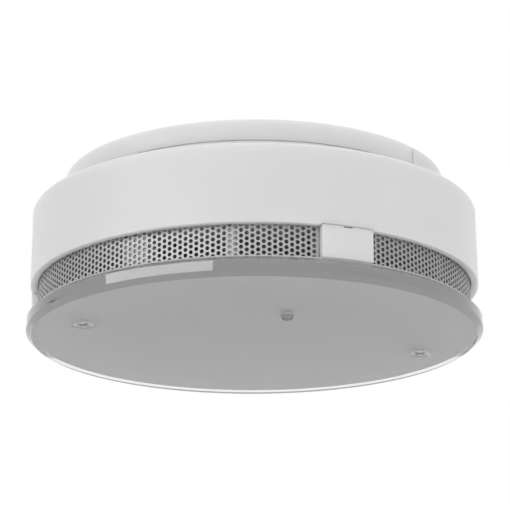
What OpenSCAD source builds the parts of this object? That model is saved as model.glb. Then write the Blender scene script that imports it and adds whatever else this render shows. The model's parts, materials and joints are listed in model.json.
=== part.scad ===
// Ceiling smoke detector, 120 mm across and 43 mm tall, hanging from a twist-on base.
// Origin: centre of the face that meets the ceiling. +Z is up, so the detector lies below z = 0.
// Azimuths are measured from -Y towards +X. The test button is on -Y, the face screws are on X.

/* [Housing] */
// Outer radius of the housing at its lower edge
housing_r = 59.2; // [52:0.1:72]
// How much narrower the housing is at its upper edge, in radius
housing_draft = 0.2; // [0:0.05:1]
// Height of the housing's side wall
housing_h = 20.5; // [20.4:0.05:30]
// Thickness of the housing's walls
wall = 2; // [1.5:0.1:2.6]
// Width of the shoulder between the side wall and the neck
shoulder_w = 8.6; // [7:0.1:10]
// Height of the neck above the shoulder
neck_h = 3.5; // [3.3:0.1:6]
// Rounding of the shoulder's outer edge
shoulder_round = 1; // [0.4:0.1:1.6]

/* [Mounting base] */
// Height of the mounting base
base_h = 5.5; // [5.4:0.1:8]
// Thickness of the base's ring wall
base_wall = 2.2; // [1.6:0.1:2.8]
// Thickness of the base's floor, against the ceiling
base_floor = 2; // [1.6:0.1:2.2]
// Distance between the two fixing slots
slot_spacing = 60; // [50:1:64]
// Width of a fixing slot
slot_w = 4.4; // [3.5:0.1:5.5]
// Length of a fixing slot, end to end
slot_len = 9; // [7:0.5:14]
// Radius of the central cable opening
cable_r = 10; // [6:0.5:14]

/* [Bayonet] */
// How far the head turns from locked to free, in degrees
twist = 15; // [13:1:20]
// How far a lug stands out from the spigot
lug_reach = 2.6; // [2:0.1:3.2]
// Azimuth of the first lug
lug_az = -30; // [-34:1:-26]

/* [Release latch] */
// Azimuth of the latch
latch_az = 42.5; // [38:0.5:50]
// Width of the latch's window, in degrees
latch_span = 15.3; // [10:0.1:20]
// How far the latch is pressed in
latch_travel = 1.2; // [0.6:0.1:1.3]
// How far the latch stands out of the ring
latch_proud = 0.4; // [0.2:0.1:0.8]

/* [Smoke inlet] */
// Height of the inlet, from the backing plate up to the housing's edge
inlet_h = 8.15; // [7:0.05:12]
// Thickness of the perforated band
mesh_t = 0.4; // [0.3:0.05:0.8]
// Gap between the band and the housing's wall
mesh_gap = 0.2; // [0.1:0.05:0.5]
// Width of a web plate
web_w = 13.6; // [8:0.2:20]
// Azimuth of the first web plate
web_az = 4; // [-8:1:12]
// Thickness of the inlet frame's two decks
deck_t = 1.4; // [1.2:0.1:1.6]

/* [Front] */
// How far the front disc reaches past the housing
disc_overhang = 0.8; // [0:0.1:3]
// Thickness of the clear front disc
disc_t = 5; // [4:0.1:6]
// Width of the front disc's chamfers
chamfer_w = 1.4; // [0.4:0.1:1.6]
// Height of the front disc's chamfers
chamfer_h = 1.2; // [0.4:0.1:1.6]
// Thickness of the backing plate, a thin satin sheet
plate_t = 0.3; // [0.2:0.05:0.6]
// Distance from the housing's radius in to the face screws
screw_inset = 12.5; // [11:0.1:14]
// Head radius of a face screw
head_r = 3.1; // [2.6:0.1:3.6]

/* [Test button] */
// Distance from the axis to the test button
button_y = 25.9; // [25.5:0.1:28]
// Radius of the test button's stem
button_r = 1.5; // [1.2:0.1:2]
// How far the button stands out of the face
button_proud = 1.2; // [0.9:0.1:2]
// How far the button is pressed in
button_travel = 0.8; // [0.4:0.1:1]

/* [Inside] */
// Distance from the neck's radius in to the circuit board's edge
board_inset = 6.6; // [6:0.1:8]
// Thickness of the circuit board
board_t = 1.6; // [1:0.1:1.8]
// Radius of the optical chamber
chamber_r = 20; // [16:0.5:20.5]
// Number of vanes round the optical chamber
vane_count = 18; // [12:1:24]
// Radius of the battery
battery_r = 8.4; // [6:0.1:8.5]
// Length of the battery's can
battery_len = 33; // [26:0.5:34]
// Distance from the axis to the battery
battery_y = 24; // [23:0.1:25]
// Radius of the sounder cup
sounder_r = 14; // [10:0.5:15]

/* [Hidden] */
$fn = 96;

small = 0.01;        // overshoot of a cut past the face it opens
seam = 0.3;          // gap between two bodies that move on each other
seat = 0.15;         // gap between a moving piece and what it rests on
slip = 0.1;          // gap round a piece that only drops into its place
running = 0.08;      // radial clearance of the button in its guides

// Heights, from the ceiling down
z_joint = -base_h;
z_shoulder = z_joint - neck_h;
z_rim = z_shoulder - housing_h;
z_plate = z_rim - inlet_h;
z_disc = z_plate - plate_t;
z_face = z_disc - disc_t;
z_low_deck = z_plate + deck_t;
z_high_deck = z_rim + deck_t;

// Radii
neck_r = housing_r - shoulder_w;
disc_r = housing_r + disc_overhang;
mesh_r = housing_r - wall - mesh_gap;
deck_r = mesh_r - mesh_t - slip;
base_inner_r = neck_r - base_wall;
face_screw_r = housing_r - screw_inset;

// Bayonet
lug_count = 3;
lug_span = twist - 3;
ledge_span = lug_span + 2;
lug_gap = 0.5;
stop_span = 2;
stop_gap = 0.6;
spigot_r = base_inner_r - lug_gap - lug_reach;
spigot_wall = 2;
spigot_gap = 0.4;
spigot_top = -base_floor - spigot_gap;
lug_t = 1.1;
ledge_gap = 0.3;
ledge_top = spigot_top - lug_t - ledge_gap;
ledge_bottom = z_joint + seam / 2;
ledge_inset = 0.2;

// Ribs of the mounting base
rib_h = 1.2;
rib_t = 1.2;
rib_count = 6;
spoke_h = 0.9;
outer_rib_r = spigot_r - spigot_wall - 3;

// Release latch
latch_top = -0.75;
latch_bottom = z_joint + 1.1;
latch_pad_r = base_inner_r - 0.1;
latch_pocket_r = latch_pad_r - latch_travel - seam;
latch_side = 0.2;    // gap at each side of the pad, in degrees
wing_t = 0.7;
wing_span = 34;
wing_top = spigot_top - slip;
tooth_r = spigot_r + latch_travel + seam;
tooth_span = 5;

// Rear cover
cover_t = 1.6;
cover_top = z_joint - seam / 2;
cover_bottom = cover_top - cover_t;
neck_wall = 2;
cover_r = neck_r - neck_wall - slip;
rest_t = 1.6;
rest_w = 11.6;
cover_screw_inset = 10.6;
cover_screw_r = neck_r - cover_screw_inset;
cover_screw_count = 3;
cover_screw_az = 30;
cover_boss_h = 5;
cover_boss_r = 2.6;

// Inlet frame
web_count = 3;
web_span = 2 * asin(web_w / 2 / housing_r);
web_rise = 0.2;      // how far a web plate stands into the housing's edge
web_seam = 0.15;
web_side = 0.15;     // gap between a web and its neighbours, in degrees
web_depth = 6;
slit_w = 2.4;
slit_h = 0.4;
slit_depth = 2.5;
mesh_tuck = 1;
web_foot = 0.1;      // gap between a web's outer plate and the backing plate
low_deck_r = deck_r - 5;
plate_r = disc_r - chamfer_w - slip;
face_screw_y = -1;
boss_count = 3;
boss_az = -53;
boss_inset = 9.2;
boss_circle = housing_r - boss_inset;
frame_boss_r = 3.5;
housing_boss_r = 3.2;
baffle_count = 6;
baffle_az = -24;
baffle_t = 1.6;
baffle_w = 8;
baffle_set = 2;      // gap between a baffle and the frame's edge
boss_rib_t = 1.6;
standoff_r = 3;

// Screws
tap_r = 1.1;
tap_slip = 0.1;
tap_depth = 8;
pan_r = 2.4;
pan_h = 1.4;
pan_recess = 2.6;
sink_h = 1.9;
sink_recess = 3.6;
recess_w = 0.8;

// Circuit board
standoff_h = 1.1;
board_bottom = z_high_deck + standoff_h;
board_top = board_bottom + board_t;
board_r = neck_r - board_inset;
board_screw_r = board_r - 4;
board_screw_count = 3;
board_screw_az = 97;
chip_pos = [18, -6];
chip_size = [7, 7, 1];
capacitor_x = [16, 24];
capacitor_y = -20;
capacitor_r = 3;
capacitor_h = 7;

// Optical chamber
chamber_wall = 0.8;
chamber_base_t = 1.2;
screen_t = 0.3;
vane_t = 0.8;
vane_len = 4.2;
vane_in = 15;
deck_hole_r = chamber_r + 2.5;
chamber_top = board_bottom - chamber_base_t;
lid_top = z_low_deck + chamber_wall;
optic_z = (chamber_top + lid_top) / 2;
optic_r = 1.5;
optic_len = 4.5;
optic_back = 11.5;
optic_az = [60, -60];
lead_r = 0.25;
lead_pitch = 1.27;
lead_set = 0.4;      // how far the leads stand behind the optic
holder_w = 5;

// Test button and switch
switch_w = 6;
switch_h = 3.4;
switch_pin_r = 1.6;
switch_pin_h = 0.8;
collar_r = 3;
collar_t = 1;
button_hole_r = 1.9;
switch_tip = board_bottom - switch_h - switch_pin_h;
button_top = switch_tip - button_travel - slip;
collar_bottom = z_low_deck + seat;
spring_wire = 0.2;
spring_r = 2.2;
spring_turns = 4;
lamp_size = [1.3, 2, 0.9];

// Sounder
sounder_pos = [-24, -14];
sounder_h = 7;
sounder_wall = 1.2;
sounder_ledge = 3;
sounder_port_r = 4.5;
disc_sheet_t = 0.4;

// Battery
battery_lift = 1;
battery_z = board_top + battery_lift + battery_r;
battery_nub_r = 2.5;
battery_nub = 1;
cradle_t = 2;
cradle_x = 9;
contact_t = 0.4;
contact_w = 8;
contact_bump = 0.6;
contact_bump_r = 2;

// Puts children at an azimuth, a distance from the axis and a height
module at_az(az, r = 0, z = 0) {
    rotate([0, 0, az]) translate([0, -r, z]) children();
}

// The same, repeated evenly round the axis
module round_about(count, az, r = 0, z = 0) {
    for (i = [0 : count - 1]) at_az(az + i * 360 / count, r, z) children();
}

// Flat ring between two heights
module ring(r_out, r_in, z0, z1) {
    translate([0, 0, z0]) difference() {
        cylinder(r = r_out, h = z1 - z0);
        translate([0, 0, -small]) cylinder(r = r_in, h = z1 - z0 + 2 * small);
    }
}

// Stretch of a ring, centred on an azimuth
module arc_ring(r_out, r_in, z0, z1, az, span) {
    rotate([0, 0, az - 90 - span / 2]) rotate_extrude(angle = span)
        translate([r_in, z0]) square([r_out - r_in, z1 - z0]);
}

// Tube standing on z = 0
module tube(r_out, r_in, h) {
    difference() {
        cylinder(r = r_out, h = h, $fn = 48);
        translate([0, 0, -small]) cylinder(r = r_in, h = h + 2 * small, $fn = 32);
    }
}

// Cutter for a screw's recess: a cross that reaches a depth on both sides of z = 0
module recess_cross(w, depth) {
    cube([w, recess_w, 2 * depth], center = true);
    cube([recess_w, w, 2 * depth], center = true);
}

// Pan-head screw: its head's outer face is at z = 0 and its shank points up
module pan_screw(shank_len) {
    difference() {
        cylinder(r = pan_r, h = pan_h, $fn = 48);
        recess_cross(pan_recess, pan_h / 2);
    }
    translate([0, 0, pan_h - small]) cylinder(r = tap_r, h = shank_len + small, $fn = 32);
}

// Countersunk screw, the same way round
module sunk_screw(shank_len) {
    difference() {
        cylinder(r1 = head_r, r2 = tap_r, h = sink_h, $fn = 64);
        recess_cross(sink_recess, sink_h / 2);
    }
    translate([0, 0, sink_h - small]) cylinder(r = tap_r, h = shank_len + small, $fn = 32);
}

// Mounting base: floor, ring wall, bayonet ledges, ribs, fixing slots, cable opening
module mounting_base() {
    color("white") difference() {
        union() {
            ring(neck_r, base_inner_r, ledge_bottom, 0);
            translate([0, 0, -base_floor]) cylinder(r = base_inner_r + small, h = base_floor);
            for (i = [0 : lug_count - 1]) bayonet_seat(lug_az + i * 360 / lug_count);
            ring(cable_r + rib_t, cable_r, -base_floor - rib_h, -base_floor + small);
            ring(outer_rib_r, outer_rib_r - rib_t, -base_floor - rib_h, -base_floor + small);
            round_about(rib_count, 0, outer_rib_r - rib_t / 2, -base_floor - spoke_h)
                translate([-rib_t / 2, 0, 0])
                    cube([rib_t, outer_rib_r - cable_r - rib_t, spoke_h + small]);
        }
        translate([0, 0, -base_h]) cylinder(r = cable_r, h = 2 * base_h);
        for (side = [-1, 1]) translate([side * slot_spacing / 2, 0, -base_h]) fixing_slot();
        arc_ring(neck_r + 1, latch_pocket_r, latch_bottom - seat, latch_top + seat,
            latch_az, latch_span);
    }
}

// The ledge that holds one lug, and the stops at both ends of the lug's travel
module bayonet_seat(az) {
    out_r = base_inner_r + small;
    in_r = spigot_r + lug_gap;
    reach = (lug_span + stop_span) / 2 + stop_gap;
    arc_ring(out_r, in_r, ledge_bottom + ledge_inset, ledge_top, az, ledge_span);
    for (stop_az = [az - reach, az + twist + reach])
        arc_ring(out_r, in_r, ledge_top, -base_floor + small, stop_az, stop_span);
}

// Cutter for one fixing slot, long along X
module fixing_slot() {
    run = slot_len - slot_w;
    for (side = [-1, 1]) translate([side * run / 2, 0, 0]) cylinder(d = slot_w, h = 2 * base_h);
    translate([-run / 2, -slot_w / 2, 0]) cube([run, slot_w, 2 * base_h]);
}

// Release latch: a pad in the ring wall, with wings that bear on the wall's inside
module release_latch() {
    color("white") {
        arc_ring(neck_r + latch_proud, latch_pad_r, latch_bottom, latch_top,
            latch_az, latch_span - 2 * latch_side);
        arc_ring(latch_pad_r + small, latch_pad_r - wing_t, latch_bottom, wing_top,
            latch_az, wing_span);
        arc_ring(latch_pad_r - wing_t + small, tooth_r, latch_bottom, wing_top,
            latch_az, tooth_span);
    }
}

// Rear cover: lid of the neck, with the bayonet spigot and its lugs
module rear_cover() {
    color("white") difference() {
        union() {
            translate([0, 0, cover_bottom]) cylinder(r = cover_r, h = cover_t);
            ring(spigot_r, spigot_r - spigot_wall, cover_top - small, spigot_top);
            for (i = [0 : lug_count - 1]) arc_ring(spigot_r + lug_reach, spigot_r - small,
                spigot_top - lug_t, spigot_top, lug_az + i * 360 / lug_count, lug_span);
        }
        round_about(cover_screw_count, cover_screw_az, cover_screw_r, cover_bottom - small)
            cylinder(r = tap_r + tap_slip, h = cover_t + 2 * small, $fn = 32);
    }
}

module cover_screws() {
    color("silver") round_about(cover_screw_count, cover_screw_az, cover_screw_r, cover_top + pan_h)
        mirror([0, 0, 1]) pan_screw(cover_t + cover_boss_h - 1);
}

// Points of a quarter of the shoulder's rounding, from the side wall to the top
function shoulder_points(r, z) = [for (a = [0 : 15 : 90])
    [r - shoulder_round + shoulder_round * cos(a), z - shoulder_round + shoulder_round * sin(a)]];

// Housing: side wall, shoulder, neck, rest for the rear cover, screw bosses
module housing() {
    top_r = housing_r - housing_draft;
    outline = concat([[housing_r, z_rim]], shoulder_points(top_r, z_shoulder),
        [[neck_r, z_shoulder], [neck_r, cover_top], [neck_r - neck_wall, cover_top],
         [neck_r - neck_wall, cover_bottom], [neck_r - rest_w - neck_wall, cover_bottom],
         [neck_r - rest_w - neck_wall, cover_bottom - rest_t],
         [neck_r - neck_wall, cover_bottom - rest_t], [neck_r - neck_wall, z_shoulder - wall],
         [top_r - wall, z_shoulder - wall], [housing_r - wall, z_rim]]);
    color("white") difference() {
        union() {
            rotate_extrude() polygon(outline);
            round_about(boss_count, boss_az, boss_circle, z_high_deck)
                frame_boss_above(z_shoulder - wall - z_high_deck);
            round_about(cover_screw_count, cover_screw_az, cover_screw_r,
                cover_bottom - cover_boss_h)
                cylinder(r = cover_boss_r, h = cover_boss_h - small, $fn = 48);
        }
        round_about(boss_count, boss_az, boss_circle, z_high_deck - small)
            cylinder(r = tap_r + tap_slip, h = tap_depth, $fn = 32);
        round_about(cover_screw_count, cover_screw_az, cover_screw_r,
            cover_bottom - cover_boss_h - small)
            cylinder(r = tap_r + tap_slip, h = cover_boss_h + 2 * small, $fn = 32);
        for (i = [0 : web_count - 1]) arc_ring(housing_r + 1, housing_r - wall - 1, z_rim - 1,
            z_rim + web_rise + web_seam, web_az + i * 360 / web_count, web_span + 2 * web_side);
    }
}

// Boss that hangs from the housing's shoulder, tied to the side wall by a rib
module frame_boss_above(h) {
    reach = housing_r - wall - boss_circle;
    cylinder(r = housing_boss_r, h = h + small, $fn = 48);
    translate([-boss_rib_t / 2, -reach, 2 * wall])
        cube([boss_rib_t, reach, h - 2 * wall + small]);
}

// Inlet frame: two decks, three web plates, baffles and screw bosses between them
module inlet_frame() {
    post_h = z_rim - z_low_deck;
    color("white") difference() {
        union() {
            translate([0, 0, z_plate]) cylinder(r = low_deck_r, h = deck_t);
            ring(deck_r, deck_hole_r, z_rim, z_high_deck);
            for (i = [0 : web_count - 1]) web_plate(web_az + i * 360 / web_count);
            round_about(boss_count, boss_az, boss_circle, z_plate + small)
                cylinder(r = frame_boss_r, h = post_h + deck_t, $fn = 48);
            for (side = [-1, 1]) translate([side * face_screw_r, face_screw_y, z_low_deck - small])
                cylinder(r = frame_boss_r, h = post_h + 2 * small, $fn = 48);
            round_about(baffle_count, baffle_az, deck_r - baffle_w, z_low_deck - small)
                translate([-baffle_t / 2, baffle_set - baffle_w, 0])
                    cube([baffle_t, baffle_w, post_h + 2 * small]);
            round_about(board_screw_count, board_screw_az, board_screw_r, z_high_deck - small)
                cylinder(r = standoff_r, h = standoff_h + small, $fn = 48);
        }
        round_about(boss_count, boss_az, boss_circle, z_plate - small) {
            cylinder(r = pan_r + slip, h = pan_h + seam, $fn = 48);
            cylinder(r = tap_r + tap_slip, h = inlet_h + 2 * deck_t, $fn = 32);
        }
        for (side = [-1, 1]) translate([side * face_screw_r, face_screw_y, z_plate - small])
            cylinder(r = tap_r + tap_slip, h = inlet_h - 2, $fn = 32);
        round_about(board_screw_count, board_screw_az, board_screw_r, z_rim - small)
            cylinder(r = tap_r + tap_slip, h = deck_t + standoff_h + 2 * small, $fn = 32);
        translate([0, -button_y, z_plate - small])
            cylinder(r = button_r + running, h = deck_t + 2 * small, $fn = 48);
        translate([-switch_w / 2 - 1, -button_y - switch_w / 2 - 1, z_rim - small])
            cube([switch_w + 2, switch_w + 2 + chamber_r / 2, deck_t + 2 * small]);
        translate([sounder_pos[0], sounder_pos[1], z_rim - small])
            cylinder(r = sounder_port_r, h = deck_t + 2 * small, $fn = 48);
    }
}

// One web plate: flush with the housing outside, a block between the decks inside, and a
// small slit for a tool at its upper edge
module web_plate(az) {
    top = z_rim + web_rise;
    face_r = mesh_r + web_seam;
    difference() {
        union() {
            arc_ring(housing_r, face_r, z_plate + web_foot, top, az, web_span);
            arc_ring(face_r + small, deck_r - web_depth, z_plate + small, top, az, web_span);
        }
        at_az(az, housing_r, top) cube([slit_w, 2 * slit_depth, 2 * slit_h], center = true);
    }
}

module frame_screws() {
    reach = 3;
    color("silver") round_about(boss_count, boss_az, boss_circle, z_plate + seam / 2)
        pan_screw(inlet_h + deck_t + reach);
}

// Perforated band: one curved sheet between each two web plates, standing on the backing plate
module inlet_mesh() {
    step = 360 / web_count;
    span = step - web_span - 2 * web_side;
    color("silver") for (i = [0 : web_count - 1]) arc_ring(mesh_r, mesh_r - mesh_t,
        z_plate, z_rim + mesh_tuck, web_az + (i + 0.5) * step, span);
}

// Backing plate: the satin sheet that shows through the front disc
module backing_plate() {
    color("gray") translate([0, 0, z_disc]) difference() {
        cylinder(r = plate_r, h = plate_t, $fn = 128);
        for (side = [-1, 1]) translate([side * face_screw_r, face_screw_y, -small])
            cylinder(r = tap_r + tap_slip, h = plate_t + 2 * small, $fn = 32);
        translate([0, -button_y, -small])
            cylinder(r = button_r + running, h = plate_t + 2 * small, $fn = 48);
    }
}

// Front disc: clear, chamfered above and below, countersunk for the face screws
module front_disc() {
    outline = [[0, z_face], [disc_r - chamfer_w, z_face], [disc_r, z_face + chamfer_h],
        [disc_r, z_disc - chamfer_h], [disc_r - chamfer_w, z_disc], [0, z_disc]];
    color("lightgray", 0.4) difference() {
        rotate_extrude($fn = 128) polygon(outline);
        for (side = [-1, 1]) translate([side * face_screw_r, face_screw_y, z_face]) {
            translate([0, 0, -small]) cylinder(r = head_r + slip, h = seat + small, $fn = 64);
            translate([0, 0, seat - small])
                cylinder(r1 = head_r + slip, r2 = tap_r + tap_slip, h = sink_h, $fn = 64);
            cylinder(r = tap_r + tap_slip, h = disc_t + small, $fn = 32);
        }
        translate([0, -button_y, z_face - small])
            cylinder(r = button_hole_r, h = disc_t + 2 * small, $fn = 48);
    }
}

module face_screws() {
    color("silver") for (side = [-1, 1])
        translate([side * face_screw_r, face_screw_y, z_face + slip]) sunk_screw(disc_t + plate_t + inlet_h / 3);
}

// Test button: a light-guiding stem with a domed tip and a collar that keeps it in
module test_button() {
    tip = z_face - button_proud;
    dome = button_r / 2;
    color("whitesmoke") translate([0, -button_y, 0]) {
        translate([0, 0, tip + dome - small])
            cylinder(r = button_r, h = button_top - tip - dome + small, $fn = 48);
        translate([0, 0, tip]) cylinder(r1 = button_r * 2 / 3, r2 = button_r, h = dome, $fn = 48);
        translate([0, 0, collar_bottom]) cylinder(r = collar_r, h = collar_t, $fn = 48);
    }
}

// Coil spring between the button's collar and the switch
module button_spring() {
    low = collar_bottom + collar_t + spring_wire + slip;
    high = board_bottom - switch_h - spring_wire - slip;
    sides = 6;
    steps = 14;
    rings = spring_turns * steps;
    function coil_point(i, s) = let (
        a = 360 * i / steps,
        b = 360 * s / sides,
        r = spring_r + spring_wire * cos(b),
        z = low + (high - low) * i / rings + spring_wire * sin(b)
    ) [r * cos(a), r * sin(a), z];
    points = [for (i = [0 : rings], s = [0 : sides - 1]) coil_point(i, s)];
    walls = [for (i = [0 : rings - 1], s = [0 : sides - 1])
        [i * sides + s, (i + 1) * sides + s, (i + 1) * sides + (s + 1) % sides,
         i * sides + (s + 1) % sides]];
    ends = [[for (s = [0 : sides - 1]) s], [for (s = [sides - 1 : -1 : 0]) rings * sides + s]];
    color("silver") translate([0, -button_y, 0])
        polyhedron(points = points, faces = concat(walls, ends), convexity = 8);
}

module test_switch() {
    color("dimgray") translate([0, -button_y, 0]) {
        translate([-switch_w / 2, -switch_w / 2, board_bottom - switch_h])
            cube([switch_w, switch_w, switch_h]);
        translate([0, 0, switch_tip])
            cylinder(r = switch_pin_r, h = switch_pin_h + small, $fn = 32);
    }
}

// Status lamp: a small surface-mounted lamp beside the switch, on the board's underside
module status_lamp() {
    color("red") translate([switch_w / 2 + seam, -button_y - lamp_size[1] / 2,
        board_bottom - lamp_size[2]]) cube(lamp_size);
}

module circuit_board() {
    color("darkgreen") difference() {
        translate([0, 0, board_bottom]) cylinder(r = board_r, h = board_t);
        round_about(board_screw_count, board_screw_az, board_screw_r, board_bottom - small)
            cylinder(r = tap_r + tap_slip, h = board_t + 2 * small, $fn = 32);
        translate([sounder_pos[0], sounder_pos[1], board_bottom - small])
            cylinder(r = sounder_port_r, h = board_t + 2 * small, $fn = 48);
        for (az = optic_az, side = [-0.5, 0.5]) at_az(az, optic_back + lead_set, board_bottom - small)
            translate([side * lead_pitch, 0, 0])
                cylinder(r = lead_r + slip, h = board_t + 2 * small, $fn = 16);
    }
}

module board_screws() {
    color("silver") round_about(board_screw_count, board_screw_az, board_screw_r,
        board_top + pan_h) mirror([0, 0, 1]) pan_screw(board_t + standoff_h + deck_t - 0.3);
}

module controller_chip() {
    color("black") translate([chip_pos[0], chip_pos[1], board_top]) cube(chip_size);
}

module capacitors() {
    color("dimgray") for (x = capacitor_x) translate([x, capacitor_y, board_top])
        cylinder(r = capacitor_r, h = capacitor_h, $fn = 48);
}

// Optical chamber's base: roof plate, light-trap vanes, and holders for the two optics
module chamber_base() {
    vane_h = chamber_top - lid_top;
    color([0.12, 0.12, 0.12]) difference() {
        union() {
            translate([0, 0, chamber_top])
                cylinder(r = chamber_r + screen_t + slip, h = chamber_base_t);
            round_about(vane_count, 0, vane_in, lid_top) vane(vane_h);
            for (az = optic_az) at_az(az, optic_back, lid_top)
                translate([-holder_w / 2, -1.5, 0]) cube([holder_w, optic_len, vane_h + small]);
        }
        for (az = optic_az) at_az(az, optic_back, optic_z) {
            rotate([-90, 0, 0]) cylinder(r = optic_r + slip, h = optic_len, $fn = 48);
            translate([-lead_pitch, -4 * lead_set, -lead_r - slip])
                cube([2 * lead_pitch, 4 * lead_set + slip, inlet_h + lead_r + slip]);
        }
    }
}

// One vane: two short walls that meet at an angle, so that light finds no straight way in
module vane(h) {
    for (turn = [40, -35]) rotate([0, 0, turn]) translate([-vane_t / 2, -vane_len, 0])
        cube([vane_t, vane_len, h + small]);
}

module chamber_lid() {
    color([0.12, 0.12, 0.12]) translate([0, 0, z_low_deck])
        cylinder(r = chamber_r + screen_t + slip, h = chamber_wall);
}

module insect_screen() {
    color("silver") ring(chamber_r + screen_t, chamber_r, lid_top, chamber_top);
}

// A lamp-shaped optic lying in its holder, pointing at the axis, with two leads up to the board
module optic(az) {
    at_az(az, optic_back, optic_z) {
        translate([0, slip, 0]) rotate([-90, 0, 0]) cylinder(r = optic_r, h = optic_len, $fn = 48);
        for (side = [-0.5, 0.5]) translate([side * lead_pitch, 0, 0]) {
            translate([0, -lead_set, 0]) rotate([-90, 0, 0])
                cylinder(r = lead_r, h = lead_set + 2 * slip, $fn = 16);
            translate([0, -lead_set, -lead_r])
                cylinder(r = lead_r, h = board_top - optic_z + lead_r, $fn = 16);
        }
    }
}

module infrared_emitter() {
    color("lavender") optic(optic_az[0]);
}

module photodiode() {
    color([0.2, 0.1, 0.2]) optic(optic_az[1]);
}

// Sounder cup: stands on the board over its port, with a ledge for the disc
module sounder_cup() {
    color("white") translate([sounder_pos[0], sounder_pos[1], board_top]) difference() {
        cylinder(r = sounder_r, h = sounder_h);
        translate([0, 0, sounder_ledge]) cylinder(r = sounder_r - sounder_wall, h = sounder_h);
        translate([0, 0, sounder_wall]) cylinder(r = sounder_r - 2 * sounder_wall, h = sounder_h);
        translate([0, 0, -small]) cylinder(r = sounder_port_r, h = sounder_h, $fn = 48);
    }
}

module sounder_disc() {
    color("gold") translate([sounder_pos[0], sounder_pos[1], board_top + sounder_ledge])
        cylinder(r = sounder_r - sounder_wall - slip, h = disc_sheet_t);
}

module sounder_lid() {
    lid_h = sounder_h - sounder_ledge - disc_sheet_t;
    color("white") translate([sounder_pos[0], sounder_pos[1], board_top + sounder_h]) {
        cylinder(r = sounder_r, h = sounder_wall);
        translate([0, 0, -lid_h]) tube(sounder_r - sounder_wall - slip,
            sounder_r - 2 * sounder_wall - slip, lid_h + small);
    }
}

// Battery: a can that lies along X, with its positive nub on the +X side
module battery() {
    color("steelblue") translate([0, battery_y, battery_z]) rotate([0, 90, 0]) {
        translate([0, 0, -battery_len / 2]) cylinder(r = battery_r, h = battery_len);
        translate([0, 0, battery_len / 2 - small])
            cylinder(r = battery_nub_r, h = battery_nub + small, $fn = 48);
    }
}

// Battery cradle: two saddles on one foot
module battery_cradle() {
    width = 2 * battery_r - 1;
    color("white") difference() {
        union() {
            for (side = [-1, 1]) translate([side * cradle_x - cradle_t / 2,
                battery_y - width / 2, board_top]) cube([cradle_t, width, battery_r]);
            translate([-cradle_x, battery_y - width / 2, board_top])
                cube([2 * cradle_x, width, battery_lift / 2]);
        }
        translate([-battery_len / 2, battery_y, battery_z]) rotate([0, 90, 0])
            cylinder(r = battery_r + slip, h = battery_len);
    }
}

// Battery contacts: two upright strips, the negative one with a raised button
module battery_contacts() {
    tall = battery_z - board_top + contact_w / 2;
    plus_x = battery_len / 2 + battery_nub + slip;
    minus_x = -battery_len / 2 - contact_bump - slip;
    color("silver") {
        translate([plus_x, battery_y - contact_w / 2, board_top]) cube([contact_t, contact_w, tall]);
        translate([minus_x - contact_t, battery_y - contact_w / 2, board_top])
            cube([contact_t, contact_w, tall]);
        translate([minus_x - small, battery_y, battery_z]) rotate([0, 90, 0])
            cylinder(r = contact_bump_r, h = contact_bump + small, $fn = 32);
    }
}

mounting_base();
release_latch();
rear_cover();
cover_screws();
housing();
inlet_frame();
frame_screws();
inlet_mesh();
backing_plate();
front_disc();
face_screws();
test_button();
button_spring();
test_switch();
status_lamp();
circuit_board();
board_screws();
controller_chip();
capacitors();
chamber_base();
chamber_lid();
insect_screen();
infrared_emitter();
photodiode();
sounder_cup();
sounder_disc();
sounder_lid();
battery();
battery_cradle();
battery_contacts();
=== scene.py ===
"""Ceiling smoke detector: the looks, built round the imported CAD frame.

Lengths are in metres, in the CAD frame: the origin is the centre of the ceiling face and +Z is up.
Azimuths are in degrees from -Y towards +X. Sizes come from the CAD nodes' boxes, and those that
no box gives are named below in millimetres, times MM.
"""

import json
import math

import bmesh
import bpy
from mathutils import Matrix, Vector


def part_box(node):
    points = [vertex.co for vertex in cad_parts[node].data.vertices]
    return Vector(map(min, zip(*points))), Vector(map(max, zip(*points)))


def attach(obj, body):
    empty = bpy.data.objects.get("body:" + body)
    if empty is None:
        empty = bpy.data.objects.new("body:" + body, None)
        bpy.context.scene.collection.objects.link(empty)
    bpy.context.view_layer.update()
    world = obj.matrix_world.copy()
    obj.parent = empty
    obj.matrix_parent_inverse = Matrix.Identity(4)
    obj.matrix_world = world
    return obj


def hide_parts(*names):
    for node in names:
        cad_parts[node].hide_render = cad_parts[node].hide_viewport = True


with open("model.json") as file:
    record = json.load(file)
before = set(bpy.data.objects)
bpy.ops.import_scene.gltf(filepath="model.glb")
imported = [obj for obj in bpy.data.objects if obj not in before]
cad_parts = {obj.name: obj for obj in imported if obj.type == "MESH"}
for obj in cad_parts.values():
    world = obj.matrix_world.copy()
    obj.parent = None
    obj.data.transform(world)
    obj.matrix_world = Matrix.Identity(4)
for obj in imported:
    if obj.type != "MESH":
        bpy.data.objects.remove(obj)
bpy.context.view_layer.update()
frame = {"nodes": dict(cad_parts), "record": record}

MM = 0.001

# ---------------------------------------------------------------- sizes

Z_NECK_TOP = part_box("housing")[1].z
Z_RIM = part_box("housing")[0].z
Z_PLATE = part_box("backing_plate")[1].z
Z_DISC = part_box("front_disc")[1].z
Z_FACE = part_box("front_disc")[0].z
Z_MESH_LOW, Z_MESH_TOP = (corner.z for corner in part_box("inlet_mesh"))

HOUSING_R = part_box("housing")[1].x
NECK_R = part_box("mounting_base")[1].y
DISC_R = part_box("front_disc")[1].x
PLATE_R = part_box("backing_plate")[1].x

MESH_R = 57 * MM
MESH_T = 0.4 * MM
HOLE_R = 0.53 * MM
HOLE_COLUMN = 1.3617 * MM    # from one column of holes to the next, along the band
HOLE_ROW = 1.41 * MM
HOLE_ROWS = 6
LOWEST_HOLE = 0.45 * MM      # a lowest hole's centre above the band's lower edge

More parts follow.
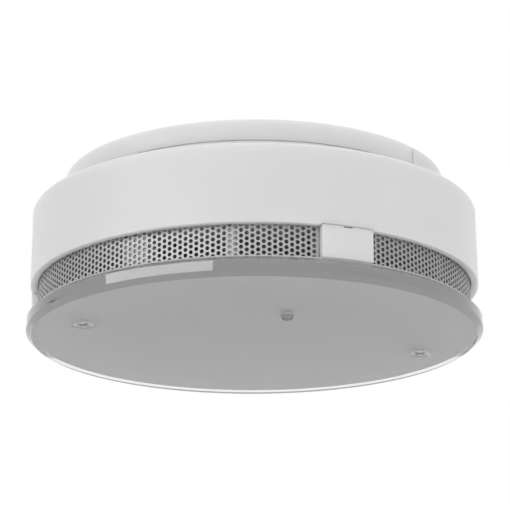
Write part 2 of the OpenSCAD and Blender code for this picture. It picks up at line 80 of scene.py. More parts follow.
WALL = 2 * MM
DRAFT = 0.2 * MM
CHAMFER_W = 1.4 * MM         # the clear disc's chamfers
CHAMFER_H = 1.2 * MM
SHOULDER_Z = -9 * MM
SHOULDER_ROUND = 1 * MM

WEB_COUNT = 3
WEB_AZ = 4
WEB_W = 13.6 * MM
WEB_SPAN = 2 * math.degrees(math.asin(WEB_W / 2 / HOUSING_R))
WEB_GAP = 0.3                # degrees that a notch or an opening is wider than its web
NOTCH_UP = 0.35 * MM         # how far a web's notch reaches above the housing's edge

LID_T = 1.6 * MM             # the rear cover's lid, and the ledge that it rests on
LEDGE_W = 11.6 * MM
TONGUE_H = 0.22 * MM
TONGUE_FRONT = 0.3 * MM      # the tongue's distance from the neck's outside
TONGUE_BACK = 0.4 * MM       # and from its inside

BOSS_COUNT = 3
BOSS_BORE_R = 1.2 * MM
FRAME_BOSS_AZ = -53
FRAME_BOSS_IN = 9.2 * MM     # its axis from the housing's outside
FRAME_BOSS_R = 3.2 * MM
FRAME_BOSS_UP = 1.4 * MM     # its foot above the housing's lower edge
FRAME_BORE = 8 * MM          # how far its screw hole runs above its foot
COVER_BOSS_AZ = 30
COVER_BOSS_IN = 10.6 * MM    # its axis from the neck's outside
COVER_BOSS_R = 2.6 * MM
COVER_BOSS_H = 5 * MM
BOSS_SINK = 0.3 * MM         # how far a boss runs into the shoulder, or ends below the ledge's top

SCREW_X = 46.7 * MM
SCREW_Y = -1 * MM
SCREW_HOLE_R = 1.2 * MM
SINK_R = 3.2 * MM            # the countersink in the clear disc
SINK_RIM = 0.15 * MM         # its straight rim
SINK_DEPTH = 2.05 * MM
HEAD_R = 3.1 * MM
HEAD_H = 1.9 * MM
SHANK_R = 1.1 * MM
RECESS_TURNS = (20, 110)     # the cross recess's two arms, in degrees from +X
RECESS_ABOVE = 0.2 * MM      # where an arm's cutter starts, outside the head
RECESS_DEPTH = 1.4 * MM

BUTTON_Y = -25.9 * MM
STEM_R = 1.5 * MM
TIP_ROUND = 0.72 * MM
DISC_BUTTON_R = 1.9 * MM     # the button's hole in the clear disc
PLATE_BUTTON_R = 1.58 * MM   # and in the satin plate
COLLAR_Z = Z_PLATE + 1.55 * MM
COLLAR_T = 1 * MM

BOND = 0.02 * MM             # how far the satin plate's front lies inside the clear disc
PAST = 1 * MM                # how far a cutter runs past a face

# ---------------------------------------------------------------- camera

VIEW_AZ = -18.6          # the camera's azimuth round the object
VIEW_RISE = 17.51        # how far it looks up
CAMERA_Z = Z_FACE - 146 * MM
CAMERA_OUT = 538 * MM    # its distance from the object's axis
VIEW_ROLL = -0.182


def outward(az, out, z=0.0):
    """The point at an azimuth, a distance from the axis and a height."""
    a = math.radians(az)
    return Vector((math.sin(a) * out, -math.cos(a) * out, z))


camera_data = bpy.data.cameras.new("camera")
camera_data.lens = 149.15
camera_data.sensor_width = 36
camera_data.shift_x = 0.00137
camera_data.clip_start = 0.02
camera_data.clip_end = 50
camera = bpy.data.objects.new("camera", camera_data)
bpy.context.scene.collection.objects.link(camera)
camera.location = outward(VIEW_AZ, CAMERA_OUT, CAMERA_Z)
camera.rotation_euler = (
    Matrix.Rotation(math.radians(VIEW_AZ), 4, "Z")
    @ Matrix.Rotation(math.radians(90 + VIEW_RISE), 4, "X")
    @ Matrix.Rotation(math.radians(VIEW_ROLL), 4, "Z")
).to_euler()
bpy.context.scene.camera = camera

# ---------------------------------------------------------------- node helpers


class Paint:
    """A procedural material: one Principled shader and short ways to feed it."""

    def __init__(self, name, colour, roughness=0.4, metallic=0.0):
        self.material = bpy.data.materials.new(name)
        self.material.use_nodes = True
        self.tree = self.material.node_tree
        self.shader = self.tree.nodes["Principled BSDF"]
        self.set("Base Color", (*colour, 1))
        self.set("Roughness", roughness)
        self.set("Metallic", metallic)

    def set(self, socket, value):
        self.shader.inputs[socket].default_value = value
        return self

    def node(self, kind, **values):
        """A new node; names with spaces are inputs and the others are its own settings."""
        made = self.tree.nodes.new(kind)
        for key, value in values.items():
            if hasattr(made, key):
                setattr(made, key, value)
            else:
                made.inputs[key.replace("_", " ")].default_value = value
        return made

    def link(self, source, target):
        self.tree.links.new(source, target)

    def coordinates(self, stretch=(1, 1, 1), kind="Object"):
        """Texture coordinates in millimetres, each axis scaled."""
        place = self.node("ShaderNodeTexCoord")
        mapping = self.node("ShaderNodeMapping")
        unit = 1000 if kind == "Object" else 1
        mapping.inputs["Scale"].default_value = [unit * s for s in stretch]
        self.link(place.outputs[kind], mapping.inputs["Vector"])
        return mapping.outputs["Vector"]

    def noise(self, per_mm, detail=2.0, stretch=(1, 1, 1), kind="Object"):
        """Noise from 0 to 1 with about per_mm features in a millimetre."""
        made = self.node("ShaderNodeTexNoise", Scale=per_mm, Detail=detail)
        self.link(self.coordinates(stretch, kind), made.inputs["Vector"])
        return made.outputs["Fac"]

    def spread(self, value, low, high):
        """Maps a noise, most of which is from 0.3 to 0.7, onto low to high."""
        made = self.node("ShaderNodeMapRange")
        for socket, number in (
            ("From Min", 0.3), ("From Max", 0.7), ("To Min", low), ("To Max", high),
        ):
            made.inputs[socket].default_value = number
        self.link(value, made.inputs["Value"])
        return made.outputs["Result"]

    def tint(self, value, dark, light):
        """Base colour between two colours."""
        mix = self.node("ShaderNodeMix", data_type="RGBA")
        for socket in mix.inputs:
            if socket.type == "RGBA" and socket.name in ("A", "B"):
                socket.default_value = (*(dark if socket.name == "A" else light), 1)
        self.link(value, mix.inputs["Factor"])
        colour = next(s for s in mix.outputs if s.type == "RGBA")
        self.link(colour, self.shader.inputs["Base Color"])
        return self

    def rough(self, value, low, high):
        self.link(self.spread(value, low, high), self.shader.inputs["Roughness"])
        return self

    def bump(self, value, height_mm):
        """Raises the surface by up to height_mm."""
        made = self.node("ShaderNodeBump", Strength=1.0)
        made.inputs["Distance"].default_value = height_mm * MM
        self.link(value, made.inputs["Height"])
        self.link(made.outputs["Normal"], self.shader.inputs["Normal"])
        return self


def grey(value):
    return (value, value, value)


# ---------------------------------------------------------------- materials


def moulded(name, dark, light, roughness=(0.34, 0.44), grain=1.6, height=0.004, depth_mm=0):
    """Moulded plastic: a fine grain, a slightly uneven sheen and faint clouding. Light wanders
    depth_mm inside it."""
    paint = Paint(name, light, roughness[0])
    if depth_mm:
        paint.set("Subsurface Weight", 1.0)
        paint.set("Subsurface Radius", (1, 1, 1))
        paint.set("Subsurface Scale", depth_mm * MM)
    paint.tint(paint.spread(paint.noise(0.06, 3), 0, 1), dark, light)
    paint.rough(paint.noise(0.12, 3), *roughness)
    paint.bump(paint.noise(grain, 3), height)
    return paint.material


def metal(name, dark, light, roughness, stretch=(1, 1, 1), per_mm=0.8, height=0.002, kind="Object"):
    """Bare metal with brushing or rolling marks along its least stretched axis."""
    paint = Paint(name, light, roughness[0], 1.0)
    streaks = paint.noise(per_mm, 4, stretch, kind)
    paint.tint(paint.spread(streaks, 0, 1), dark, light)
    paint.rough(paint.noise(per_mm * 0.5, 3, stretch, kind), *roughness)
    paint.bump(streaks, height)
    return paint.material


def clear(name, colour):
    """Clear acrylic, with marks so faint that only a raking light finds them."""
    paint = Paint(name, colour, 0.0)
    paint.set("IOR", 1.49)
    paint.set("Transmission Weight", 1.0)
    paint.rough(paint.noise(0.05, 4), 0.004, 0.02)
    return paint.material


MATERIALS = {
    "white_plastic": moulded(
        "white_plastic", (0.82, 0.82, 0.817), (0.84, 0.84, 0.837), depth_mm=2.2),
    "screw_steel": metal("screw_steel", grey(0.5), grey(0.62), (0.26, 0.36)),
    "face_screw_steel": metal("face_screw_steel", grey(0.42), grey(0.52), (0.3, 0.4), per_mm=1.5),
    "band_steel": metal(
        "band_steel", grey(0.46), grey(0.54), (0.48, 0.56), stretch=(0.05, 1.2, 1), per_mm=1.0, kind="UV"),
    "plate_satin": moulded("plate_satin", grey(0.60), grey(0.62), (0.5, 0.6), grain=2.0, height=0.002),
    "clear_acrylic": clear("clear_acrylic", (0.92, 0.925, 0.923)),
    "light_guide": clear("light_guide", (0.97, 0.975, 0.975)),
    "spring_steel": metal("spring_steel", grey(0.42), grey(0.55), (0.28, 0.38)),
    "switch_black": moulded("switch_black", grey(0.025), grey(0.035), (0.4, 0.5)),
    "lamp_red": moulded("lamp_red", (0.42, 0.02, 0.02), (0.55, 0.03, 0.03), (0.15, 0.22)),
    "board_green": moulded(
        "board_green", (0.015, 0.10, 0.045), (0.02, 0.14, 0.06), (0.25, 0.35), grain=0.9, height=0.01),
    "chip_black": moulded("chip_black", grey(0.02), grey(0.03), (0.5, 0.6)),
    "capacitor_sleeve": moulded(
        "capacitor_sleeve", (0.02, 0.025, 0.05), (0.03, 0.035, 0.07), (0.3, 0.4)),
    "chamber_black": moulded("chamber_black", grey(0.018), grey(0.028), (0.55, 0.65)),
    "screen_steel": metal("screen_steel", grey(0.35), grey(0.5), (0.35, 0.5), per_mm=3.0),
    "emitter_lens": moulded("emitter_lens", (0.45, 0.5, 0.6), (0.5, 0.56, 0.66), (0.08, 0.14)),
    "diode_lens": moulded("diode_lens", (0.05, 0.02, 0.05), (0.07, 0.03, 0.07), (0.08, 0.14)),
    "sounder_white": moulded("sounder_white", grey(0.68), grey(0.72), (0.4, 0.5)),
    "sounder_brass": metal("sounder_brass", (0.60, 0.44, 0.18), (0.72, 0.54, 0.24), (0.25, 0.35)),
    "battery_wrap": moulded("battery_wrap", (0.05, 0.12, 0.28), (0.07, 0.16, 0.36), (0.25, 0.35)),
    "cradle_white": moulded("cradle_white", grey(0.68), grey(0.72), (0.4, 0.5)),
    "contact_nickel": metal("contact_nickel", grey(0.5), grey(0.62), (0.22, 0.32)),
}

# Which slot each CAD node takes its finish from
SLOT_OF = {part["node"]: part["material_slot"] for part in frame["record"]["subparts"]}

# ---------------------------------------------------------------- mesh helpers


def finish_mesh(name, bm, body, node=None, slot=None, sharp=32):
    """Makes the object, shades it, gives it its material and lets it ride on its body."""
    bmesh.ops.recalc_face_normals(bm, faces=bm.faces)
    mesh = bpy.data.meshes.new(name)
    bm.to_mesh(mesh)
    bm.free()
    mesh.polygons.foreach_set("use_smooth", [True] * len(mesh.polygons))
    mesh.set_sharp_from_angle(angle=math.radians(sharp))
    made = bpy.data.objects.new(name, mesh)
    bpy.context.scene.collection.objects.link(made)
    slot = slot or SLOT_OF[node]
    mesh.materials.append(MATERIALS[slot])
    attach(made, body)
    if node:
        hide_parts(node)
    return made


def rounded(corners, steps=5):
    """An outline from (radius, height, fillet) corners, with each fillet as an arc. A point just
    beyond each end of an arc keeps the long faces' shading flat."""
    guard = 0.02 * MM
    points = []
    count = len(corners)
    for i, (r, z, fillet) in enumerate(corners):
        here = Vector((r, z))
        if fillet <= 0:
            points.append(here)
            continue
        to_last = (Vector(corners[i - 1][:2]) - here).normalized()
        to_next = (Vector(corners[(i + 1) % count][:2]) - here).normalized()
        half = to_last.angle(to_next) / 2
        reach = fillet / math.tan(half)
        centre = here + (to_last + to_next).normalized() * (fillet / math.sin(half))
        start = here + to_last * reach - centre
        sweep = start.angle_signed(here + to_next * reach - centre)
        points.append(here + to_last * (reach + guard))
        for k in range(steps + 1):
            turn = Matrix.Rotation(-sweep * k / steps, 2)
            points.append(centre + turn @ start)
        points.append(here + to_next * (reach + guard))
    return points


def lathe(bm, outline, segments=192):
    """Turns a closed outline of (radius, height) points round the axis."""
    rings = []
    for r, z in outline:
        if r < 1e-7:
            rings.append([bm.verts.new((0, 0, z))])
        else:
            rings.append([bm.verts.new(outward(360 * k / segments, r, z)) for k in range(segments)])
    for a, b in zip(rings, rings[1:] + rings[:1]):
        if len(a) == 1 and len(b) == 1:
            continue
        for k in range(segments):
            n = (k + 1) % segments
            corners = [a[k % len(a)], a[n % len(a)], b[n % len(b)], b[k % len(b)]]
            bm.faces.new(list(dict.fromkeys(corners)))
    return bm


def turned(corners, segments=192, at=(0, 0, 0), steps=5):
    """A new bmesh with one turned solid."""
    bm = bmesh.new()
    lathe(bm, rounded(corners, steps), segments)
    bmesh.ops.translate(bm, verts=bm.verts, vec=at)
    return bm


def arc_block(bm, r_out, r_in, z0, z1, az, span, steps=24):
    """Adds a stretch of a ring, centred on an azimuth."""
    loops = []
    for k in range(steps + 1):
        a = az - span / 2 + span * k / steps
        loops.append([bm.verts.new(outward(a, r, z))
                      for r, z in ((r_in, z0), (r_out, z0), (r_out, z1), (r_in, z1))])
    for one, two in zip(loops, loops[1:]):
        for k in range(4):
            n = (k + 1) % 4
            bm.faces.new((one[k], one[n], two[n], two[k]))
    bm.faces.new(loops[0])
    bm.faces.new(reversed(loops[-1]))


def cone(bm, x, y, z0, z1, r0, r1, segments=64):
    """Adds a cone frustum standing on z0, or a cylinder where both radii are the same."""
    low, high = (
        [bm.verts.new((x + r * math.cos(a), y + r * math.sin(a), z))
         for a in (2 * math.pi * k / segments for k in range(segments))]
        for r, z in ((r0, z0), (r1, z1)))
    for k in range(segments):
        n = (k + 1) % segments
        bm.faces.new((low[k], low[n], high[n], high[k]))
    bm.faces.new(reversed(low))
    bm.faces.new(high)


def pillar(at, r, z0, z1):
    """A new bmesh with one upright cylinder."""
    bm = bmesh.new()
    cone(bm, at.x, at.y, z0, z1, r, r, 48)
    return bm


def absorb(bm, other):
    """Adds another bmesh to bm, which uses it up."""
    mesh = bpy.data.meshes.new("scratch")
    other.to_mesh(mesh)
    other.free()
    bm.from_mesh(mesh)
    bpy.data.meshes.remove(mesh)


def boolean(bm, cutter, operation="DIFFERENCE"):
    """bm cut by, or joined to, another bmesh; both are used up."""
    holders = []
    for part in (bm, cutter):
        bmesh.ops.recalc_face_normals(part, faces=part.faces)
        mesh = bpy.data.meshes.new("scratch")
        part.to_mesh(mesh)
        part.free()
        holder = bpy.data.objects.new("scratch", mesh)
        bpy.context.scene.collection.objects.link(holder)
        holders.append(holder)
    change = holders[0].modifiers.new("change", "BOOLEAN")
    change.operation = operation
    change.solver = "EXACT"
    change.object = holders[1]
    graph = bpy.context.evaluated_depsgraph_get()
    result = bmesh.new()
    result.from_mesh(holders[0].evaluated_get(graph).to_mesh())
    for holder in holders:
        mesh = holder.data
        bpy.data.objects.remove(holder)
        bpy.data.meshes.remove(mesh)
    return result


def refined(node, width):
    """A copy of a CAD node's mesh with its edges rounded by width."""
    bm = bmesh.new()
    bm.from_mesh(frame["nodes"][node].data)
    bmesh.ops.remove_doubles(bm, verts=bm.verts, dist=1e-6)
    bmesh.ops.dissolve_limit(
        bm, angle_limit=math.radians(0.5), verts=bm.verts, edges=bm.edges)
    edges = [e for e in bm.edges
             if len(e.link_faces) == 2 and e.calc_face_angle(0) > math.radians(35)]
    bmesh.ops.bevel(bm, geom=edges, offset=width, segments=2, profile=0.5, affect="EDGES")
    return bm


# ---------------------------------------------------------------- housing


def with_boss(body, at, r, foot, top, bore_top):
    """body with a round boss added and a screw hole cut along it."""
    body = boolean(body, pillar(at, r, foot, top), "UNION")
    return boolean(body, pillar(at, BOSS_BORE_R, foot - PAST, bore_top))


def make_housing():
    """Side wall, shoulder and neck in one turned shell, with the inner bosses and the notches for
    the web plates. A low tongue inside the neck's edge backs the joint with the base."""
    top_r = HOUSING_R - DRAFT
    neck_in = NECK_R - WALL
    ledge_in = neck_in - LEDGE_W
    lid_z = Z_NECK_TOP - LID_T
    tongue_z = Z_NECK_TOP + TONGUE_H
    body = turned([
        (HOUSING_R, Z_RIM, 0.25 * MM),
        (top_r, SHOULDER_Z, SHOULDER_ROUND),
        (NECK_R, SHOULDER_Z, 0.3 * MM),
        (NECK_R, Z_NECK_TOP, 0.06 * MM),
        (NECK_R - TONGUE_FRONT, Z_NECK_TOP, 0),
        (NECK_R - TONGUE_FRONT, tongue_z, 0.04 * MM),
        (neck_in + TONGUE_BACK, tongue_z, 0.04 * MM),
        (neck_in + TONGUE_BACK, Z_NECK_TOP, 0),
        (neck_in, Z_NECK_TOP, 0.1 * MM),
        (neck_in, lid_z, 0),
        (ledge_in, lid_z, 0),
        (ledge_in, lid_z - LID_T, 0),
        (neck_in, lid_z - LID_T, 0),
        (neck_in, SHOULDER_Z - WALL, 0.3 * MM),
        (top_r - WALL, SHOULDER_Z - WALL, 0.4 * MM),
        (HOUSING_R - WALL, Z_RIM, 0.2 * MM),
    ], 256)
    frame_foot = Z_RIM + FRAME_BOSS_UP
    cover_foot = lid_z - COVER_BOSS_H
    for i in range(BOSS_COUNT):
        turn = 360 * i / BOSS_COUNT
        body = with_boss(body, outward(FRAME_BOSS_AZ + turn, HOUSING_R - FRAME_BOSS_IN), FRAME_BOSS_R,
                         frame_foot, SHOULDER_Z - WALL + BOSS_SINK, frame_foot + FRAME_BORE)
        body = with_boss(body, outward(COVER_BOSS_AZ + turn, NECK_R - COVER_BOSS_IN), COVER_BOSS_R,
                         cover_foot, lid_z - BOSS_SINK, lid_z + PAST)
    notches = bmesh.new()
    for i in range(WEB_COUNT):
        arc_block(notches, HOUSING_R + PAST, HOUSING_R - WALL - PAST, Z_RIM - PAST,
                  Z_RIM + NOTCH_UP, WEB_AZ + 360 * i / WEB_COUNT, WEB_SPAN + WEB_GAP)
    body = boolean(body, notches)
    return finish_mesh("housing_shell", body, "head", "housing")


# ---------------------------------------------------------------- perforated band


class PunchedSheet:
    """One stretch of thin sheet, drawn flat with points (along, up) and bent round the axis."""

    def __init__(self, bm, start, run):
        self.bm = bm
        self.start = start       # the azimuth of its first end
        self.run = run           # how far the texture has run before it
        self.uv_layer = bm.loops.layers.uv["along"]
        self.made = {}

    def vertex(self, u, v, deep):
        """The vertex at a flat point, on the outside (deep 0) or the inside (deep 1)."""
        key = (round(u / (0.001 * MM)), round(v / (0.001 * MM)), deep)
        if key not in self.made:
            az = self.start + math.degrees(u / MESH_R)
            self.made[key] = self.bm.verts.new(outward(az, MESH_R - MESH_T * deep, Z_MESH_LOW + v))
        return self.made[key]

    def face(self, corners):
        """A face from (along, up, deep) corners."""
        made = self.bm.faces.new([self.vertex(*corner) for corner in corners])
        for loop, (u, v, _) in zip(made.loops, corners):
            loop[self.uv_layer].uv = ((u + self.run) / MM, v / MM)

    def sheet(self, points):
        """The same outline outside and inside."""
        for deep in (0, 1):
            self.face([(u, v, deep) for u, v in points])

    def wall(self, points):
        """The thickness between outside and inside, along a line of points."""
        for one, two in zip(points, points[1:]):
            self.face([(*one, 0), (*two, 0), (*two, 1), (*one, 1)])

    def hole(self, quarters, middle, bottom):
        """One cell of sheet with a round hole in its middle, cut off at the bottom edge."""
        half = HOLE_ROW / 2
        low = max(bottom, middle[1] - half)
        high = middle[1] + half
        rim = ([(u, low) for u in quarters] + [(quarters[-1], middle[1])]
               + [(u, high) for u in reversed(quarters)] + [(quarters[0], middle[1])])
        ring = []
        for u, v in rim:
            a = math.atan2((v - middle[1]) / HOLE_ROW, (u - middle[0]) / HOLE_COLUMN)
            ring.append((middle[0] + HOLE_R * math.cos(a), middle[1] + HOLE_R * math.sin(a)))
        for k in range(len(rim)):
            n = (k + 1) % len(rim)
            self.sheet([rim[k], rim[n], ring[n], ring[k]])
        self.wall(ring + ring[:1])

    def column(self, u0, low, marks):
        """A column of holes from low upwards, with plain sheet under and over it."""
        bottom, top = marks[0], marks[-1]
        tiny = 1e-9
        ends = (u0, u0 + HOLE_COLUMN)
        quarters = [u0 + HOLE_COLUMN * k / 4 for k in range(5)]
        for j in range(HOLE_ROWS):
            middle = (u0 + HOLE_COLUMN / 2, low + j * HOLE_ROW + HOLE_ROW / 2)
            self.hole(quarters, middle, bottom)
        for v_from, v_to in ((bottom, low), (low + HOLE_ROWS * HOLE_ROW, top)):
            levels = [v_from] + [v for v in marks if v_from + tiny < v < v_to - tiny] + [v_to]
            for a, b in zip(levels, levels[1:]):
                if b - a < tiny:
                    continue
                under = quarters if a == levels[0] and a > bottom else ends
                over = quarters if b == levels[-1] and b < top else ends
                self.sheet([(u, a) for u in under] + [(u, b) for u in reversed(over)])
        self.wall([(u, bottom) for u in (quarters if low < bottom else ends)])
        self.wall([(u, top) for u in ends])

    def margin(self, ua, ub, marks):
        """Plain sheet at one end of the stretch."""
        for a, b in zip(marks, marks[1:]):
            self.sheet([(ua, a), (ub, a), (ub, b), (ua, b)])
        self.wall([(ua, marks[0]), (ub, marks[0])])
        self.wall([(ua, marks[-1]), (ub, marks[-1])])


def make_band():
    """Three curved stretches of perforated sheet, with straight columns of holes, every other one
    half a pitch lower."""
    span = 360 / WEB_COUNT - WEB_SPAN - WEB_GAP
    length = math.radians(span) * MESH_R
    columns = int(length / HOLE_COLUMN)
    margin = (length - columns * HOLE_COLUMN) / 2
    height = Z_MESH_TOP - Z_MESH_LOW
    half = HOLE_ROW / 2
    first = LOWEST_HOLE - half
    levels = [first + k * half for k in range(2 * HOLE_ROWS + 2)]
    marks = [0.0] + [v for v in levels if 1e-9 < v < height - 1e-9] + [height]
    bm = bmesh.new()
    bm.loops.layers.uv.new("along")
    for i in range(WEB_COUNT):
        start = WEB_AZ + (i + 0.5) * 360 / WEB_COUNT - span / 2
        stretch = PunchedSheet(bm, start, i * length)
        for c in range(columns):
            stretch.column(margin + c * HOLE_COLUMN, first + (half if c % 2 else 0), marks)
        stretch.margin(0.0, margin, marks)
        stretch.margin(length - margin, length, marks)
        for u in (0.0, length):
            stretch.wall([(u, v) for v in marks])
    bmesh.ops.remove_doubles(bm, verts=bm.verts, dist=1e-7)
    return finish_mesh("perforated_band", bm, "head", "inlet_mesh", sharp=40)


# ---------------------------------------------------------------- front


def make_disc():
    """The clear disc: polished, chamfered at both edges, countersunk for its two screws."""
    body = turned([
        (0, Z_FACE, 0),
        (DISC_R - CHAMFER_W, Z_FACE, 0.08 * MM),
        (DISC_R, Z_FACE + CHAMFER_H, 0.08 * MM),
        (DISC_R, Z_DISC - CHAMFER_H, 0.08 * MM),
        (DISC_R - CHAMFER_W, Z_DISC, 0.08 * MM),
        (0, Z_DISC, 0),
    ], 256, steps=4)
    rim_z = Z_FACE + SINK_RIM
    deep_z = Z_FACE + SINK_DEPTH
    cutters = bmesh.new()
    for x in (-SCREW_X, SCREW_X):
        cone(cutters, x, SCREW_Y, Z_FACE - PAST, rim_z, SINK_R, SINK_R)
        cone(cutters, x, SCREW_Y, rim_z - 0.001 * MM, deep_z, SINK_R, SCREW_HOLE_R)
        cone(cutters, x, SCREW_Y, deep_z - 0.01 * MM, Z_DISC + PAST, SCREW_HOLE_R, SCREW_HOLE_R)
    body = boolean(body, cutters)
    hole = bmesh.new()
    cone(hole, 0, BUTTON_Y, Z_FACE - PAST, Z_DISC + PAST, DISC_BUTTON_R, DISC_BUTTON_R)
    body = boolean(body, hole)
    return finish_mesh("clear_disc", body, "head", "front_disc", sharp=8)


def make_plate():
    """The satin plate. Its front is a hair inside the clear disc, as a plate bonded to it is, so
    that no film of air lies between them."""
    front = Z_DISC - BOND
    body = turned([
        (0, front, 0), (PLATE_R, front, 0), (PLATE_R, Z_PLATE, 0), (0, Z_PLATE, 0),
    ], 256)
    holes = bmesh.new()
    for x in (-SCREW_X, SCREW_X):
        cone(holes, x, SCREW_Y, Z_DISC - PAST, Z_PLATE + PAST, SCREW_HOLE_R, SCREW_HOLE_R)
    cone(holes, 0, BUTTON_Y, Z_DISC - PAST, Z_PLATE + PAST, PLATE_BUTTON_R, PLATE_BUTTON_R)
    body = boolean(body, holes)
    return finish_mesh("satin_plate", body, "head", "backing_plate", sharp=8)


def add_pads(bm, count, first_az, span, deep, steps):
    """Adds evenly spaced pads that stand close behind the band."""
    outside = MESH_R - MESH_T - 0.1 * MM
    for i in range(count):
        arc_block(bm, outside, outside - deep, Z_PLATE + 0.1 * MM, Z_RIM + 0.2 * MM,
                  first_az + 360 * i / count, span, steps)


def make_frame():
    """The inlet frame, with the wide and the narrow pads that back the band between its webs."""
    body = refined("inlet_frame", 0.12 * MM)
    pads = bmesh.new()
    add_pads(pads, count=3, first_az=-49.5, span=7.7, deep=5 * MM, steps=8)
    add_pads(pads, count=6, first_az=-24.3, span=2.7, deep=3 * MM, steps=4)
    absorb(body, pads)
    return body


def recess_arm(turn, z_head):
    """A new bmesh that cuts one arm of a cross recess, shorter and narrower as it goes deeper."""
    bm = bmesh.new()
    a = math.radians(turn)
    along = Vector((math.cos(a), math.sin(a), 0))
    across = Vector((-math.sin(a), math.cos(a), 0))
    ends = []
    for z, length, width in (
        (z_head - RECESS_ABOVE, 1.85 * MM, 0.46 * MM),
        (z_head + RECESS_DEPTH, 1.1 * MM, 0.3 * MM),
    ):
        ends.append([bm.verts.new(along * p * length + across * q * width + Vector((0, 0, z)))
                     for p, q in ((-1, -1), (1, -1), (1, 1), (-1, 1))])
    wide, narrow = ends
    for k in range(4):
        n = (k + 1) % 4
        bm.faces.new((wide[k], wide[n], narrow[n], narrow[k]))
    bm.faces.new(reversed(wide))
    bm.faces.new(narrow)
    return bm


def make_face_screws():
    """Two countersunk screws with cross recesses."""
    low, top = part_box("face_screws")
    whole = bmesh.new()
    for x in (-SCREW_X, SCREW_X):
        screw = turned([
            (0, low.z, 0), (HEAD_R, low.z, 0.12 * MM), (SHANK_R, low.z + HEAD_H, 0.1 * MM),
            (SHANK_R, top.z, 0.2 * MM), (0, top.z, 0),
        ], 64, steps=3)
        for turn in RECESS_TURNS:
            screw = boolean(screw, recess_arm(turn, low.z))
        bmesh.ops.translate(screw, verts=screw.verts, vec=(x, SCREW_Y, 0))
        absorb(whole, screw)
    return finish_mesh("face_screw_pair", whole, "head", "face_screws")


def make_button():
    """The button's stem with its domed tip, and the collar that keeps it in."""
    low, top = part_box("test_button")
    collar_r = top.x
    collar_top = COLLAR_Z + COLLAR_T
    body = turned([
        (0, low.z, 0),
        (STEM_R, low.z, TIP_ROUND),
        (STEM_R, COLLAR_Z, 0.05 * MM),
        (collar_r, COLLAR_Z, 0.15 * MM),
        (collar_r, collar_top, 0.15 * MM),
        (STEM_R, collar_top, 0.05 * MM),
        (STEM_R, top.z, 0.15 * MM),
        (0, top.z, 0),
    ], 64, at=(0, BUTTON_Y, 0), steps=6)
    return finish_mesh("button_stem", body, "button", "test_button")


# ---------------------------------------------------------------- the object

make_housing()
make_band()
make_plate()
make_disc()
make_face_screws()
make_button()
finish_mesh("base_ring", refined("mounting_base", 0.08 * MM), "base", "mounting_base")
finish_mesh("latch_pad", refined("release_latch", 0.15 * MM), "latch", "release_latch")
finish_mesh("cover_lid", refined("rear_cover", 0.15 * MM), "head", "rear_cover")
finish_mesh("inlet_web_frame", make_frame(), "head", "inlet_frame")

for name, obj in frame["nodes"].items():
    obj.data.materials.clear()
    obj.data.materials.append(MATERIALS[SLOT_OF[name]])

# ---------------------------------------------------------------- floor and light

FLOOR_Z = -1.6
FLOOR_HALF = 8
ROOM = 1.0                   # the studio's light round the object
SHADE_RIGHT = 0.68           # what it falls to on the camera's right
SHADE_LEFT = 0.74            # the share of it that is left on the camera's left


def make_floor():
    """A plain pale floor, far below."""
    bm = bmesh.new()
    bmesh.ops.create_grid(bm, x_segments=8, y_segments=8, size=FLOOR_HALF)
    bmesh.ops.translate(bm, verts=bm.verts, vec=(0, 0, FLOOR_Z))
    mesh = bpy.data.meshes.new("floor")
    bm.to_mesh(mesh)
    bm.free()
    floor = bpy.data.objects.new("floor", mesh)
    bpy.context.scene.collection.objects.link(floor)
    paint = Paint("floor_paper", grey(0.9), 0.9)
    paint.tint(paint.noise(0.002, 2), grey(0.89), grey(0.91))
    mesh.materials.append(paint.material)


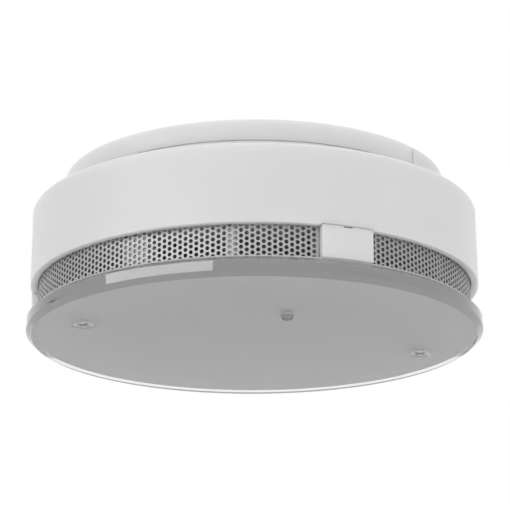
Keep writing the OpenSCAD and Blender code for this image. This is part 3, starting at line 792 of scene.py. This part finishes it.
def area_light(name, az, rise, distance, width, height, radiance):
    """A softbox seen from the object at an azimuth and a height in degrees."""
    data = bpy.data.lights.new(name, "AREA")
    data.shape = "RECTANGLE"
    data.size = width
    data.size_y = height
    data.energy = radiance * math.pi * width * height
    lamp = bpy.data.objects.new(name, data)
    bpy.context.scene.collection.objects.link(lamp)
    r = math.radians(rise)
    lamp.location = outward(az, distance * math.cos(r), distance * math.sin(r))
    lamp.rotation_euler = (-lamp.location).to_track_quat("-Z", "Y").to_euler()
    lamp.visible_camera = False
    lamp.visible_diffuse = False


make_floor()
area_light("left_softbox", az=VIEW_AZ - 48.5, rise=17.5, distance=2.5, width=2.6, height=0.24,
           radiance=6)


def make_world():
    """A studio with a white backdrop behind the object, and less light from the camera's left and
    right."""
    world = bpy.data.worlds.new("studio")
    world.use_nodes = True
    nodes, links = world.node_tree.nodes, world.node_tree.links
    place = nodes.new("ShaderNodeTexCoord")

    def towards(az, start, end, low, high):
        """low to high as the direction turns towards an azimuth."""
        dot = nodes.new("ShaderNodeVectorMath")
        dot.operation = "DOT_PRODUCT"
        dot.inputs[1].default_value = outward(az, 1)
        links.new(place.outputs["Generated"], dot.inputs[0])
        fit = nodes.new("ShaderNodeMapRange")
        fit.interpolation_type = "SMOOTHSTEP"
        for socket, number in (
            ("From Min", start), ("From Max", end), ("To Min", low), ("To Max", high),
        ):
            fit.inputs[socket].default_value = number
        links.new(dot.outputs["Value"], fit.inputs["Value"])
        return fit.outputs["Result"]

    backdrop = towards(VIEW_AZ + 180, 0.55, 0.8, 0.0, 1.0)
    room = nodes.new("ShaderNodeMath")
    room.operation = "MULTIPLY"
    links.new(towards(VIEW_AZ + 85, 0.1, 0.9, ROOM, SHADE_RIGHT), room.inputs[0])
    links.new(towards(VIEW_AZ - 85, 0.1, 0.9, 1.0, SHADE_LEFT), room.inputs[1])
    mix = nodes.new("ShaderNodeMix")
    links.new(backdrop, mix.inputs["Factor"])
    links.new(room.outputs["Value"], mix.inputs["A"])
    mix.inputs["B"].default_value = 1.0
    links.new(mix.outputs["Result"], nodes["Background"].inputs["Strength"])
    nodes["Background"].inputs["Color"].default_value = (1, 1, 1, 1)
    bpy.context.scene.world = world


make_world()
bpy.context.scene.view_settings.view_transform = "Standard"
